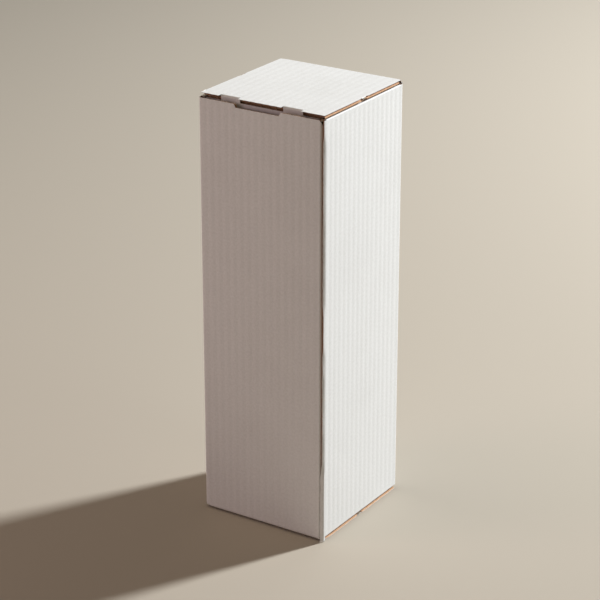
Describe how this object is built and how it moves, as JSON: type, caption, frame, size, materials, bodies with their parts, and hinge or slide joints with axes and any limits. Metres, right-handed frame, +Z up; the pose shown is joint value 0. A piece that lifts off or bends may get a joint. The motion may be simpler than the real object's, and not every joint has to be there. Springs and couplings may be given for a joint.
{
  "type": "bottle box",
  "caption": "Tall square box for one bottle, folded from corrugated board, with a tuck-in lid on top and a tuck-in flap at the bottom.",
  "frame": {"origin": "middle of the face that the box stands on", "axes": "+Z up along the box, -Y the front wall that the lid tucks behind, +X the right wall"},
  "size_m": [0.108, 0.108, 0.336],
  "materials": {
    "board": "matte"
  },
  "bodies": {
    "box_body": {"box_body": "board"},
    "lid": {"lid": "board"},
    "bottom_flap": {"bottom_flap": "board"}
  },
  "joints": [
    {"name": "lid_hinge", "type": "hinge", "parent": "box_body", "child": "lid", "pos_m": [0, 0.0526, 0.3346], "axis": [-1, 0, 0], "range_deg": [0, 180]},
    {"name": "bottom_flap_hinge", "type": "hinge", "parent": "box_body", "child": "bottom_flap", "pos_m": [0, -0.0526, 0.0014], "axis": [-1, 0, 0], "range_deg": [0, 180]}
  ]
}
